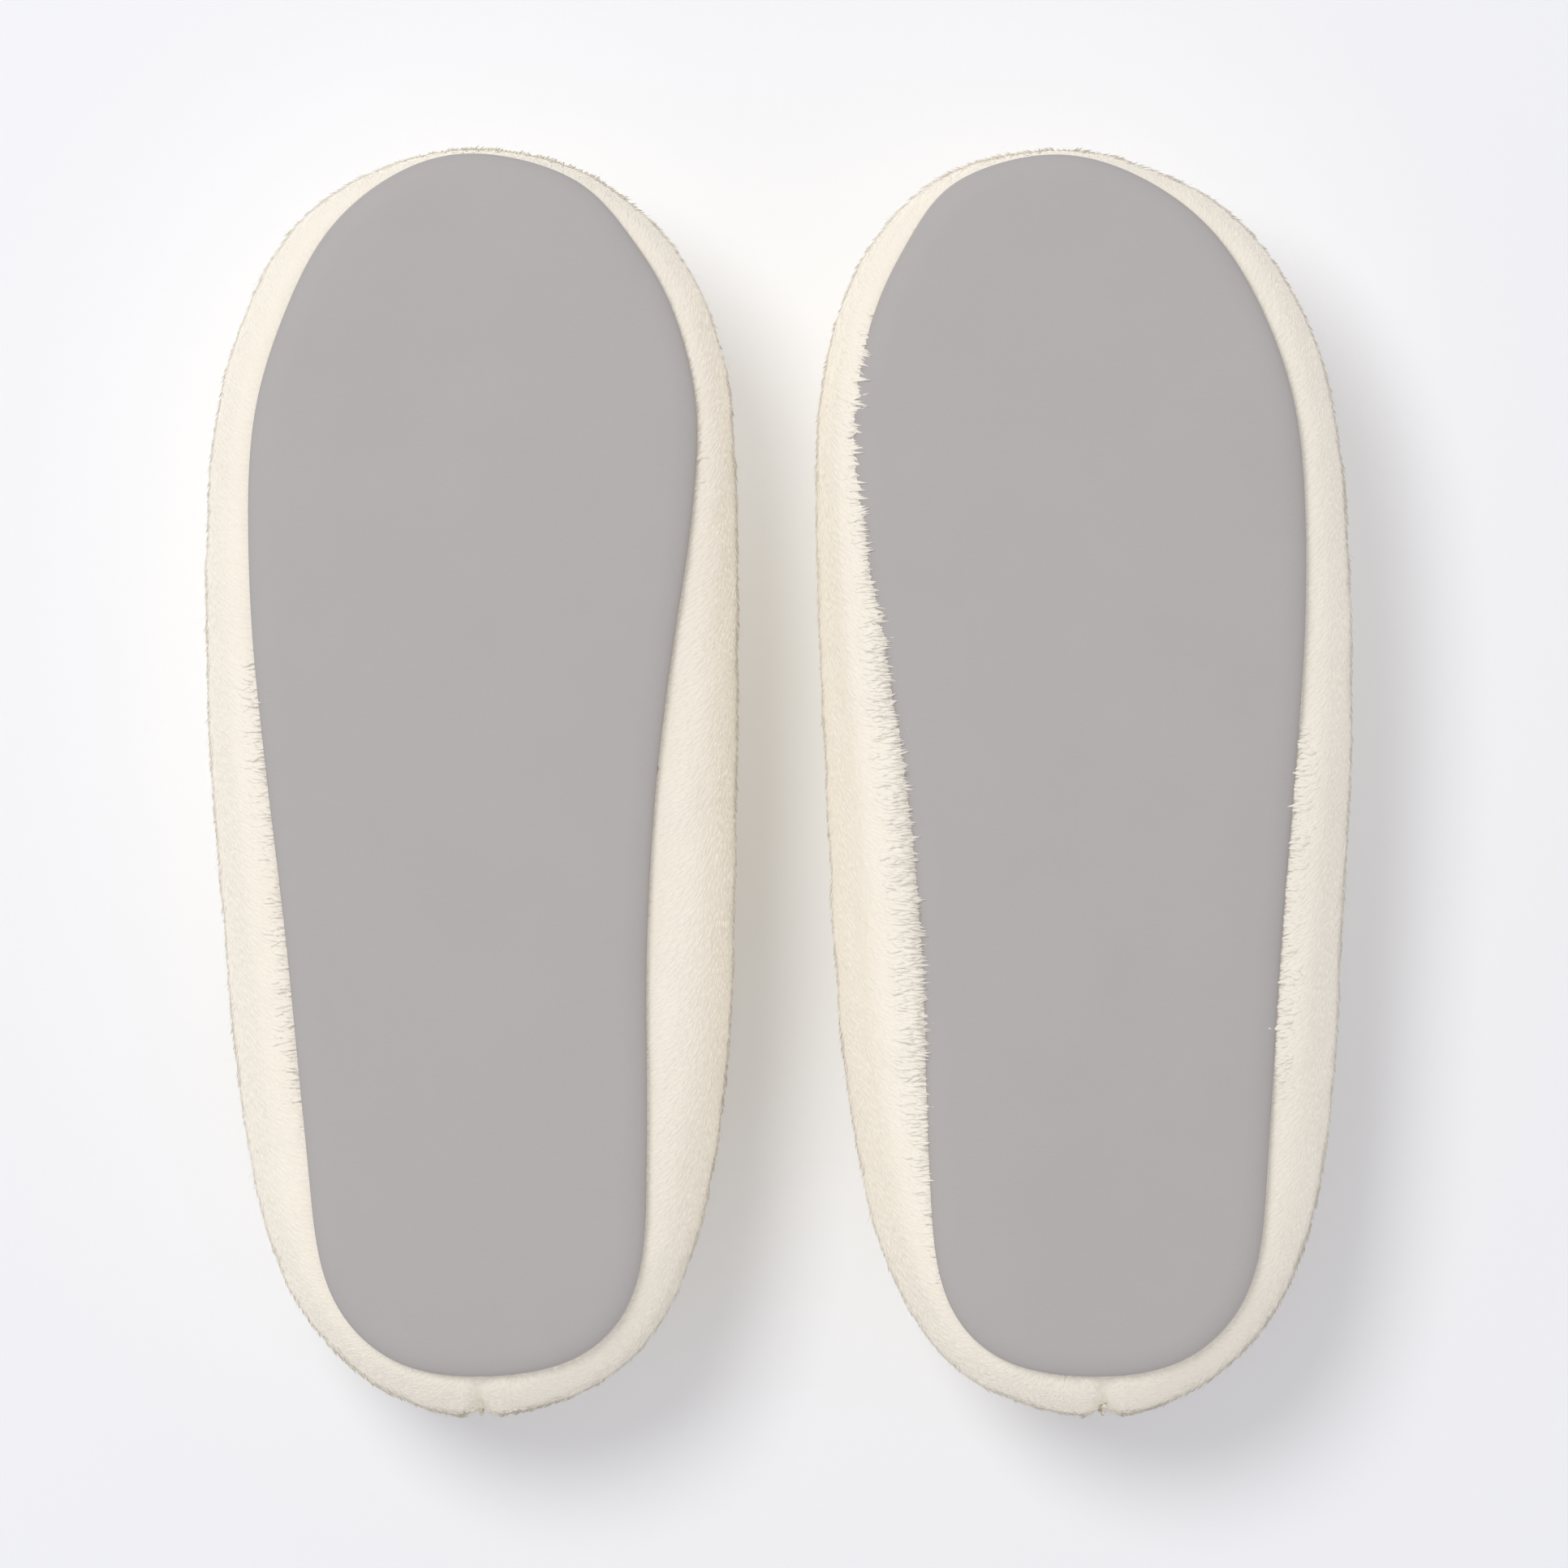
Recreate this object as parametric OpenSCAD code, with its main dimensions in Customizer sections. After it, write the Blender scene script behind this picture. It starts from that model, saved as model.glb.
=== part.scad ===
// Pair of plush spa slippers, closed at toe and heel, soles down on the floor.
// Millimetres. +Z is up, the toes point to -Y and the wearer's left slipper is at +X.
// One slipper is described (the right one, inner side towards +X) and mirrored for the other.

/* [Pair] */
// Distance from the middle of the pair to the middle of the right slipper
right_offset = 63.6; // [58:0.2:80]
// Distance from the middle of the pair to the middle of the left slipper
left_offset = 64; // [58:0.2:80]
// How far the left slipper's toe turns inwards, in degrees
left_turn = 2; // [0:0.1:4]
// How far the tip of the left slipper's soft toe leans inwards
left_toe_lean = 4.4; // [0:0.2:6]

/* [Sole] */
// Thickness of the rubber outsole
outsole_t = 4; // [3:0.5:6]
// Height of the bevel round the bottom edge of the outsole
bevel_h = 1.2; // [0.6:0.2:2]
// Width of the bevel round the bottom edge of the outsole
bevel_w = 1.6; // [0.8:0.2:3]
// Thickness of the foam midsole
midsole_t = 4; // [3:0.5:6]
// Thickness of the fibre board
board_t = 1.2; // [0.8:0.2:2]
// Thickness of the soft foam under the foot
footbed_foam_t = 4; // [3:0.5:6]
// Thickness of the plush sock on the footbed
footbed_cover_t = 2.4; // [1.6:0.2:3]

/* [Upper] */
// Thickness of the plush, pile and backing together
plush_t = 5; // [4:0.5:6]
// Thickness of the foam interlining
foam_t = 2; // [1.5:0.5:3]
// Thickness of the fleece lining
lining_t = 1.6; // [1.2:0.2:2]
// Thickness of the heel counter
counter_t = 0.8; // [0.6:0.1:1]
// Height of the throat, the front end of the opening
throat_h = 62; // [56:1:70]
// Height of the collar at its lowest, beside the ankle
side_h = 49; // [44:1:56]
// Height of the collar at the back of the heel
heel_h = 54; // [48:1:62]
// Thickness of the rolled hem round the opening
hem_d = 9; // [8:0.5:11]
// Thickness of the elastic cord in the hem
elastic_d = 2.4; // [1.6:0.2:3]

/* [Hidden] */

cream = [0.92, 0.88, 0.80];
warm_grey = [0.45, 0.42, 0.40];
foam_white = [0.93, 0.91, 0.86];
board_brown = [0.62, 0.52, 0.40];
thread_cream = [0.85, 0.80, 0.70];
elastic_white = [0.96, 0.96, 0.94];

gap = 0.2;              // clearance between neighbouring layers
sole_steps = 4;         // points on a sole outline for each station

// Places up the wall where the shells have a row of points: sole 0, widest line 0.4, mouth 1
widest = 0.4;
wall_rows = [0, 0.13, 0.27, widest, 0.52, 0.64, 0.76, 0.88, 1];
rows = len(wall_rows) - 1;
squeeze = 0.34;         // the wall's layers are pressed together where they are sewn to the sole

// Three loops round the slipper, station by station: from the tip of the toe along
// the inner side to the heel (station 12) and back along the outer side.
heel_station = 12;
sole_line = [
    [3, -129], [22, -123.5], [34, -110.5], [42, -96], [46.6, -76], [45.2, -52], [41.5, -27], [38, 2],
    [36.2, 36], [36.3, 72], [34.5, 102], [23, 117], [2, 121.3], [-17, 117.3], [-29.5, 102],
    [-33.6, 72], [-37.5, 32], [-42, -6], [-44.9, -38], [-44.6, -72], [-38, -96],
    [-28, -114.5], [-13, -126]
];
belly_line = [
    [3, -131], [24, -126.5], [41, -113], [50, -97], [54.5, -76], [55.2, -50], [55.3, -22], [55, 5],
    [54.6, 36], [51.8, 72], [44, 104], [28, 124], [2, 131], [-21, 124.5], [-39, 104],
    [-47.5, 71], [-51.2, 32], [-54.6, -6], [-55.2, -40], [-53.9, -72], [-47.7, -96],
    [-36, -117], [-15, -128.7]
];
mouth_line = [
    [3, -14], [8, -13.4], [13.5, -11.6], [19, -8.6], [25, -3.6], [30.5, 3.5], [35, 14], [38, 29],
    [39, 50], [37, 76], [30.5, 101], [18, 119], [2, 125.5], [-14, 119], [-26.5, 101],
    [-33, 76], [-35.5, 50], [-34.5, 27], [-30, 11], [-24, 1.5], [-17, -6], [-10, -11], [-3, -13.3]
];
stations = len(sole_line);

// Stations where the shells have a ring point: two a station, closer at the heel seam
seam_half = 0.12;
tape_half = 0.25;
rings = [
    each [0:0.5:heel_station - 0.5],
    heel_station - tape_half, heel_station - seam_half, heel_station,
    heel_station + seam_half, heel_station + tape_half,
    each [heel_station + 0.5:0.5:stations - 0.5]
];
ring_count = len(rings);

seam_dip_t = 1.6;       // depth of the groove at the heel seam
stitch_depth = 1;       // depth of the stitches in the groove
stitch_d = 0.8;         // thickness of their thread
stitch_pitch = 0.066;   // their spacing and length, as shares of the way up
stitch_length = 0.045;
tape_t = 0.6;           // thickness of the tape inside the heel
thread_d = 0.8;         // thickness of the thread of the sole seam
thread_in = 5;          // its distance inside the sole's edge
margin = 6.5;           // the midsole and board stay this far inside the sole's edge
slab_room = 1.1;        // and every slab this far from the lining
belly_h_toe = 17;       // height of the widest line at the toe
belly_h_heel = 26;      // and at the heel
length_half = 131;
lean_from = 90;         // the toe starts to lean this far in front of the slipper's middle

inner_wall = plush_t + foam_t + lining_t + counter_t + 3 * gap;
feather_h = outsole_t + gap;
board_h = outsole_t + midsole_t + 2 * gap;
footbed_h = board_h + board_t + gap;
cover_h = footbed_h + footbed_foam_t + gap;

// Smooth closed curve through a loop of points, at station s. The toe leans over by $toe_lean.
function on_loop(pts, s) =
    let (n = len(pts), i = floor(s), f = s - i)
    let (a = pts[(i - 1 + n) % n], b = pts[i % n], c = pts[(i + 1) % n], d = pts[(i + 2) % n])
    let (p = b + (c - a) * f / 2 + (2 * a - 5 * b + 4 * c - d) * f * f / 2
        + (3 * b - a - 3 * c + d) * f * f * f / 2)
    p + [$toe_lean * pow(max(0, -p.y - lean_from) / (length_half - lean_from), 2), 0];

function bezier(a, b, c, d, t) =
    let (r = 1 - t)
    a * r * r * r + b * 3 * r * r * t + c * 3 * r * t * t + d * t * t * t;

function smooth(t) = let (c = max(0, min(1, t))) c * c * (3 - 2 * c);

// Height of the collar line: the throat in front, the dip beside the ankle, the heel behind
function mouth_h(y) =
    y < 74
    ? throat_h + (side_h - throat_h) * smooth((y + 12) / 86)
    : side_h + (heel_h - side_h) * smooth((y - 74) / 43);

function belly_h(y) =
    belly_h_toe + (belly_h_heel - belly_h_toe) * (y + length_half) / (2 * length_half);

// Unit vector across a loop, pointing outwards
function loop_out(pts, s) =
    let (n = len(pts), t = on_loop(pts, (s + 0.05) % n) - on_loop(pts, (s - 0.05 + n) % n))
    [t.y, -t.x] / norm(t);

// The same loop moved sideways, outwards when by is positive
function beside_loop(pts, s, by) = on_loop(pts, s) + loop_out(pts, s) * by;

function mouth_point(s) = let (m = on_loop(mouth_line, s)) [m.x, m.y, mouth_h(m.y)];

function mouth_along(s) =
    let (n = stations, t = mouth_point((s + 0.05) % n) - mouth_point((s - 0.05 + n) % n))
    t / norm(t);

// Unit vector out of the wall at the mouth: level at the heel and sides, upwards on the vamp
function mouth_out(s) =
    let (m = on_loop(mouth_line, s), b = on_loop(belly_line, s))
    let (flat = loop_out(mouth_line, s), reach = norm(b - m))
    let (up = 0.35 + 2.4 * smooth((reach - 12) / 90))
    let (v = [flat.x, flat.y, up], a = mouth_along(s), w = v - a * (v * a))
    w / norm(w);

// Unit vector in which the wall ends at the mouth
function mouth_way(s) = cross(mouth_out(s), mouth_along(s));

// A face inside the upper's wall: s goes round the stations, v goes up from the sole (0),
// over the widest line to the mouth (1), and depth is measured in from the outside
function layer_point(s, v, depth) =
    let (f = beside_loop(sole_line, s, -depth * squeeze), b = beside_loop(belly_line, s, -depth))
    let (foot = [f.x, f.y, feather_h], wide = [b.x, b.y, belly_h(b.y)])
    let (top = mouth_point(s) - mouth_out(s) * depth)
    let (rise = top.z - wide.z, reach = norm([wide.x - top.x, wide.y - top.y]))
    v < widest
    ? bezier(
        foot,
        foot + [wide.x - foot.x, wide.y - foot.y, 0] * 0.7,
        wide - [0, 0, (wide.z - foot.z) * 0.55],
        wide,
        v / widest
    )
    : bezier(
        wide,
        wide + [0, 0, rise * 0.55],
        top - mouth_way(s) * (rise * 0.3 + reach * 0.35),
        top,
        (v - widest) / (1 - widest)
    );

// Point of that face at a height below the widest line
function face_at_height(s, z, depth) =
    let (wall = [for (v = wall_rows) if (v <= widest) layer_point(s, v, depth)])
    let (j = len([for (p = wall) if (p.z < z) p]) - 1, k = max(0, min(len(wall) - 2, j)))
    let (f = (z - wall[k].z) / (wall[k + 1].z - wall[k].z))
    wall[k] + (wall[k + 1] - wall[k]) * f;

// The plush dips at the heel seam
function seam_dip(s, depth) = depth == 0 && s == heel_station ? seam_dip_t : 0;

// Points of one face of a layer, row by row
function face_points(at, row_from, row_to, depth) = [
    for (j = [row_from:row_to], s = at)
        layer_point(s, wall_rows[j], depth + seam_dip(s, depth))
];

// Two triangles for each field of a face that has n points a row
function face_fields(n, row_count, closed) = [
    for (j = [0:row_count - 1], i = [0:closed ? n - 1 : n - 2], half = [0, 1])
        let (a = j * n + i, b = j * n + (i + 1) % n)
        half == 0 ? [a, b + n, b] : [a, a + n, b + n]
];

function turned(triangles, by) = [for (t = triangles) [t[0] + by, t[2] + by, t[1] + by]];

// Wall between the two faces along an edge, a list of point numbers
function edge_wall(edge, by) = [
    for (k = [0:len(edge) - 1], half = [0, 1])
        let (a = edge[k], b = edge[(k + 1) % len(edge)])
        half == 0 ? [a, b, b + by] : [a, b + by, a + by]
];

// Closed shell all round the foot, from depth near to depth far behind the skin
module shell_layer(near, far) {
    size = ring_count * (rows + 1);
    face = face_fields(ring_count, rows, true);
    low_edge = [for (i = [0:ring_count - 1]) i];
    high_edge = [for (i = [ring_count - 1:-1:0]) rows * ring_count + i];
    polyhedron(
        concat(face_points(rings, 0, rows, near), face_points(rings, 0, rows, far)),
        concat(face, turned(face, size), edge_wall(low_edge, size), edge_wall(high_edge, size))
    );
}

// Closed patch of a layer between two stations and two rows, such as the heel counter
module shell_patch(near, far, s_from, s_to, row_from, row_to) {
    at = [for (s = rings) if (s >= s_from && s <= s_to) s];
    n = len(at);
    row_count = row_to - row_from;
    size = n * (row_count + 1);
    face = face_fields(n, row_count, false);
    rim = concat(
        [for (i = [0:n - 1]) i],
        [for (j = [1:row_count]) j * n + n - 1],
        [for (i = [n - 2:-1:0]) row_count * n + i],
        [for (j = [row_count - 1:-1:1]) j * n]
    );
    polyhedron(
        concat(face_points(at, row_from, row_to, near), face_points(at, row_from, row_to, far)),
        concat(face, turned(face, size), edge_wall(rim, size))
    );
}

// Closed tube round a loop of points, with a round section of the given thickness
module loop_tube(path, across, sides) {
    n = len(path);
    points = [
        for (i = [0:n - 1], k = [0:sides - 1])
            let (t = path[(i + 1) % n] - path[(i - 1 + n) % n])
            let (side = [t.y, -t.x, 0] / norm([t.x, t.y]), high = cross(side, t) / norm(t))
            path[i] + (side * cos(k * 360 / sides) + high * sin(k * 360 / sides)) * across / 2
    ];
    faces = [
        for (i = [0:n - 1], k = [0:sides - 1], half = [0, 1])
            let (a = i * sides + k, b = i * sides + (k + 1) % sides)
            let (c = (i + 1) % n * sides + k, d = (i + 1) % n * sides + (k + 1) % sides)
            half == 0 ? [a, b, d] : [a, d, c]
    ];
    polyhedron(points, faces);
}

// Flat slab cut to a line that runs inside or outside the sole's edge
module sole_slab(by, low, thick) {
    translate([0, 0, low])
        linear_extrude(thick)
            polygon([
                for (i = [0:stations * sole_steps - 1])
                    beside_loop(sole_line, i / sole_steps, by)
            ]);
}

// Flat slab inside the upper's wall, no wider than the sole's edge moved by the given amount
module inner_slab(by, low, thick) {
    translate([0, 0, low])
        linear_extrude(thick)
            polygon([
                for (s = rings)
                    let (p = on_loop(sole_line, s), out = loop_out(sole_line, s))
                    let (a = face_at_height(s, low, inner_wall))
                    let (b = face_at_height(s, low + thick, inner_wall))
                    let (room = min(([a.x, a.y] - p) * out, ([b.x, b.y] - p) * out))
                    p + out * min(by, room - slab_room)
            ]);
}

function hem_path() = [
    for (s = rings)
        mouth_point(s) - mouth_out(s) * inner_wall / 2 + mouth_way(s) * (hem_d / 2 + 2 * gap)
];

// Point in the groove of the heel seam, at a place up the wall
function seam_point(v) =
    let (j = len([for (w = wall_rows) if (w <= v) w]) - 1)
    let (f = (v - wall_rows[j]) / (wall_rows[j + 1] - wall_rows[j]))
    let (a = layer_point(heel_station, wall_rows[j], stitch_depth))
    let (b = layer_point(heel_station, wall_rows[j + 1], stitch_depth))
    a + (b - a) * f;

module rod(a, b, across) {
    d = b - a;
    translate(a)
        rotate([0, acos(d.z / norm(d)), atan2(d.y, d.x)])
            cylinder(h = norm(d), d = across, $fn = 24);
}

module outsole() {
    color(warm_grey) {
        sole_slab(-bevel_w, 0, bevel_h);
        sole_slab(0, bevel_h, outsole_t - bevel_h);
    }
}

module midsole() {
    color(foam_white)
        inner_slab(-margin, outsole_t + gap, midsole_t);
}

module insole_board() {
    color(board_brown)
        inner_slab(-margin, board_h, board_t);
}

module sole_seam_thread() {
    path = [
        for (s = rings)
            let (p = beside_loop(sole_line, s, -thread_in))
            [p.x, p.y, feather_h + thread_d / 2 + gap]
    ];
    color(thread_cream)
        loop_tube(path, thread_d, 5);
}

module footbed_foam() {
    color(foam_white)
        inner_slab(inner_wall, footbed_h, footbed_foam_t);
}

module footbed_cover() {
    color(cream)
        inner_slab(inner_wall, cover_h, footbed_cover_t);
}

module upper_plush() {
    color(cream)
        shell_layer(0, plush_t);
}

module upper_foam() {
    color(foam_white)
        shell_layer(plush_t + gap, plush_t + gap + foam_t);
}

module upper_lining() {
    color(cream)
        shell_layer(inner_wall - lining_t, inner_wall);
}

module heel_counter() {
    near = plush_t + foam_t + 2 * gap;
    color(board_brown)
        shell_patch(near, near + counter_t, heel_station - 2.5, heel_station + 2.5, 2, rows - 1);
}

module heel_seam_tape() {
    near = inner_wall + gap;
    color(thread_cream)
        shell_patch(near, near + tape_t, heel_station - tape_half, heel_station + tape_half, 3, rows);
}

module heel_stitches() {
    color(thread_cream)
        for (v = [0.2:stitch_pitch:0.92])
            rod(seam_point(v), seam_point(v + stitch_length), stitch_d);
}

module collar() {
    color(cream)
        difference() {
            loop_tube(hem_path(), hem_d, 10);
            loop_tube(hem_path(), elastic_d + 2 * gap, 6);
        }
}

module collar_elastic() {
    color(elastic_white)
        loop_tube(hem_path(), elastic_d, 6);
}

module on_right() {
    $toe_lean = 0;
    translate([-right_offset, 0, 0])
        children();
}

module on_left() {
    $toe_lean = left_toe_lean;
    translate([left_offset, 0, 0])
        rotate(-left_turn)
            mirror([1, 0, 0])
                children();
}

on_right() outsole();  // right_outsole
on_right() midsole();  // right_midsole
on_right() insole_board();  // right_insole_board
on_right() sole_seam_thread();  // right_sole_seam_thread
on_right() footbed_foam();  // right_footbed_foam
on_right() footbed_cover();  // right_footbed_cover
on_right() upper_plush();  // right_upper_plush
on_right() upper_foam();  // right_upper_foam
on_right() upper_lining();  // right_upper_lining
on_right() heel_counter();  // right_heel_counter
on_right() heel_seam_tape();  // right_heel_seam_tape
on_right() heel_stitches();  // right_heel_stitches
on_right() collar();  // right_collar
on_right() collar_elastic();  // right_collar_elastic
on_left() outsole();  // left_outsole
on_left() midsole();  // left_midsole
on_left() insole_board();  // left_insole_board
on_left() sole_seam_thread();  // left_sole_seam_thread
on_left() footbed_foam();  // left_footbed_foam
on_left() footbed_cover();  // left_footbed_cover
on_left() upper_plush();  // left_upper_plush
on_left() upper_foam();  // left_upper_foam
on_left() upper_lining();  // left_upper_lining
on_left() heel_counter();  // left_heel_counter
on_left() heel_seam_tape();  // left_heel_seam_tape
on_left() heel_stitches();  // left_heel_stitches
on_left() collar();  // left_collar
on_left() collar_elastic();  // left_collar_elastic
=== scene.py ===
import math

import bmesh
import bpy
from mathutils import Matrix, Vector, noise


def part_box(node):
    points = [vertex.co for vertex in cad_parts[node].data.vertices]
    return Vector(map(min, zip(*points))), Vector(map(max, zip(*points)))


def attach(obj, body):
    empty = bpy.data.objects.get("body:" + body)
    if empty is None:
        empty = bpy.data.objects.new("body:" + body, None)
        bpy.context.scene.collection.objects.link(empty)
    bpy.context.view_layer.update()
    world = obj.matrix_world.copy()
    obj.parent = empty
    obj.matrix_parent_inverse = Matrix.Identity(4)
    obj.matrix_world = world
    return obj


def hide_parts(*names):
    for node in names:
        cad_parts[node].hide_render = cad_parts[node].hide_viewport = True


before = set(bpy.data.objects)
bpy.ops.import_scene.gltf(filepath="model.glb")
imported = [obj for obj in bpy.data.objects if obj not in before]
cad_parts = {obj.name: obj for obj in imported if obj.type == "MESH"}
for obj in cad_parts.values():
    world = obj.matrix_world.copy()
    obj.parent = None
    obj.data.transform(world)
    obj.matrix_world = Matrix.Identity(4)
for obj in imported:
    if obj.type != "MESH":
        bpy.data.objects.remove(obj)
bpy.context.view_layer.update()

scene = bpy.context.scene
mm = 0.001
squareMm = mm * mm
weldGap = 0.005 * mm     # points nearer than this are one point
anyAngle = 3.1           # wide enough to join any two flat triangles
print("frame loaded:", len(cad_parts), "nodes")


def linkPiece(mesh, name):
    piece = bpy.data.objects.new(name, mesh)
    scene.collection.objects.link(piece)
    return piece


def nodeCopy(nodeName, name):
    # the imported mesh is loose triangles, so the copy is merged first
    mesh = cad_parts[nodeName].data.copy()
    mesh.materials.clear()
    bm = bmesh.new()
    bm.from_mesh(mesh)
    bmesh.ops.remove_doubles(bm, verts=bm.verts, dist=weldGap)
    bm.to_mesh(mesh)
    bm.free()
    mesh.name = name
    return linkPiece(mesh, name)


def quadCopy(nodeName, name):
    # a copy whose triangles are joined to quads again, ready to be subdivided
    piece = nodeCopy(nodeName, name)
    bm = bmesh.new()
    bm.from_mesh(piece.data)
    bmesh.ops.join_triangles(bm, faces=bm.faces[:], angle_face_threshold=anyAngle,
                             angle_shape_threshold=anyAngle)
    bm.to_mesh(piece.data)
    bm.free()
    return piece


def applyModifiers(piece):
    depsgraph = bpy.context.evaluated_depsgraph_get()
    made = bpy.data.meshes.new_from_object(
        piece.evaluated_get(depsgraph), preserve_all_data_layers=True, depsgraph=depsgraph)
    old = piece.data
    piece.modifiers.clear()
    piece.data = made
    made.name = piece.name
    bpy.data.meshes.remove(old)


def remesh(piece, voxel):
    step = piece.modifiers.new("remesh", "REMESH")
    step.mode = "VOXEL"
    step.voxel_size = voxel
    step.use_smooth_shade = True
    applyModifiers(piece)


def subdivide(piece, levels=1):
    step = piece.modifiers.new("round", "SUBSURF")
    step.levels = levels
    step.render_levels = levels
    applyModifiers(piece)


def relax(piece, rounds):
    bm = bmesh.new()
    bm.from_mesh(piece.data)
    for _ in range(rounds):
        bmesh.ops.smooth_vert(bm, verts=bm.verts, factor=0.5,
                              use_axis_x=True, use_axis_y=True, use_axis_z=True)
    bm.to_mesh(piece.data)
    bm.free()


def shadeSmooth(piece):
    piece.data.polygons.foreach_set("use_smooth", [True] * len(piece.data.polygons))


def ease(low, high, value):
    t = min(max((value - low) / (high - low), 0.0), 1.0)
    return t * t * (3 - 2 * t)


def notePoints(mesh, notes):
    # keeps numbers or vectors under a name, one for each point
    for name, values in notes.items():
        isVector = isinstance(values[0], Vector)
        made = mesh.attributes.new(name, "FLOAT_VECTOR" if isVector else "FLOAT", "POINT")
        if isVector:
            made.data.foreach_set("vector", [part for value in values for part in value])
        else:
            made.data.foreach_set("value", values)
    mesh.update()


def layFlat(way, normal, lift):
    # turns a way along the surface, then lifts it off by a share
    along = way - normal * way.dot(normal)
    return (along.normalized() + normal * lift).normalized()


clothLook = {"quality": 4, "mass": 0.2, "frames": 20}


def puff(piece, pressure, cap, isHeld):
    # soft goods are blown up a little as cloth, and no point moves further than the cap
    mesh = piece.data
    start = [vertex.co.copy() for vertex in mesh.vertices]
    held = piece.vertex_groups.new(name="held")
    held.add([i for i, place in enumerate(start) if isHeld(place)], 1.0, "REPLACE")
    cloth = piece.modifiers.new("cloth", "CLOTH")
    cloth.settings.quality = clothLook["quality"]
    cloth.settings.mass = clothLook["mass"]
    cloth.settings.vertex_group_mass = "held"
    cloth.settings.use_pressure = True
    cloth.settings.uniform_pressure_force = pressure
    cloth.settings.effector_weights.gravity = 0
    cloth.point_cache.frame_start = 1
    cloth.point_cache.frame_end = clothLook["frames"]
    for step in range(1, clothLook["frames"] + 1):
        scene.frame_set(step)
    blown = piece.evaluated_get(bpy.context.evaluated_depsgraph_get()).data
    ended = [vertex.co.copy() for vertex in blown.vertices]
    piece.modifiers.clear()
    piece.vertex_groups.clear()
    for vertex, was, now in zip(mesh.vertices, start, ended):
        move = now - was
        if move.length > cap:
            move = move.normalized() * cap
        vertex.co = was + move
    mesh.update()
    scene.frame_set(1)


def finishPiece(piece, side, materials):
    for material in materials:
        piece.data.materials.append(material)
    shadeSmooth(piece)
    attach(piece, side + "_slipper")
    return piece


def newNode(tree, kind, **values):
    node = tree.nodes.new(kind)
    for key, value in values.items():
        setattr(node, key, value)
    return node


def newGroup(name, inputs, outputs, treeType="ShaderNodeTree"):
    tree = bpy.data.node_groups.new(name, treeType)
    for label, kind, value in inputs:
        made = tree.interface.new_socket(label, in_out="INPUT", socket_type=kind)
        if value is not None:
            made.default_value = value
    for label, kind in outputs:
        tree.interface.new_socket(label, in_out="OUTPUT", socket_type=kind)
    return tree, newNode(tree, "NodeGroupInput"), newNode(tree, "NodeGroupOutput")


def wire(tree, source, target):
    tree.links.new(source, target)


def mathNode(tree, operation, first, second):
    node = newNode(tree, "ShaderNodeMath", operation=operation)
    for socket, value in zip(node.inputs, (first, second)):
        if isinstance(value, (int, float)):
            socket.default_value = value
        else:
            wire(tree, value, socket)
    return node.outputs[0]


def noiseNode(tree, vector, scale, detail=2.0, roughness=0.5):
    node = newNode(tree, "ShaderNodeTexNoise")
    wire(tree, vector, node.inputs["Vector"])
    for name, value in (("Scale", scale), ("Detail", detail), ("Roughness", roughness)):
        if isinstance(value, (int, float)):
            node.inputs[name].default_value = value
        else:
            wire(tree, value, node.inputs[name])
    return node.outputs[0]


def toneGroup():
    # slow change between a light and a dark tone
    tree, given, out = newGroup(
        "tone variation",
        [("Vector", "NodeSocketVector", None), ("Light", "NodeSocketColor", None),
         ("Dark", "NodeSocketColor", None), ("Scale", "NodeSocketFloat", 60.0),
         ("Contrast", "NodeSocketFloat", 2.0)],
        [("Colour", "NodeSocketColor"), ("Mask", "NodeSocketFloat")])
    cloud = noiseNode(tree, given.outputs["Vector"], given.outputs["Scale"], 4.0, 0.6)
    centred = mathNode(tree, "SUBTRACT", cloud, 0.5)
    spread = mathNode(tree, "MULTIPLY", centred, given.outputs["Contrast"])
    raised = mathNode(tree, "ADD", spread, 0.5)
    raised.node.use_clamp = True
    blend = newNode(tree, "ShaderNodeMix", data_type="RGBA")
    wire(tree, raised, blend.inputs[0])
    wire(tree, given.outputs["Dark"], blend.inputs[6])
    wire(tree, given.outputs["Light"], blend.inputs[7])
    wire(tree, blend.outputs[2], out.inputs["Colour"])
    wire(tree, raised, out.inputs["Mask"])
    return tree


def fibreGroup():
    # short streaks of fibre that lie mostly one way
    tree, given, out = newGroup(
        "fibre streaks",
        [("Vector", "NodeSocketVector", None), ("Scale", "NodeSocketFloat", 700.0),
         ("Stretch", "NodeSocketVector", (1.0, 0.35, 1.0))],
        [("Height", "NodeSocketFloat"), ("Mask", "NodeSocketFloat")])
    stretched = newNode(tree, "ShaderNodeVectorMath", operation="MULTIPLY")
    wire(tree, given.outputs["Vector"], stretched.inputs[0])
    wire(tree, given.outputs["Stretch"], stretched.inputs[1])
    fine = noiseNode(tree, stretched.outputs[0], given.outputs["Scale"], 3.0, 0.6)
    coarseScale = mathNode(tree, "MULTIPLY", given.outputs["Scale"], 0.3)
    coarse = noiseNode(tree, stretched.outputs[0], coarseScale, 1.0, 0.5)
    both = mathNode(tree, "ADD", mathNode(tree, "MULTIPLY", fine, 0.6),
                    mathNode(tree, "MULTIPLY", coarse, 0.4))
    wire(tree, both, out.inputs["Height"])
    wire(tree, fine, out.inputs["Mask"])
    return tree


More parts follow.
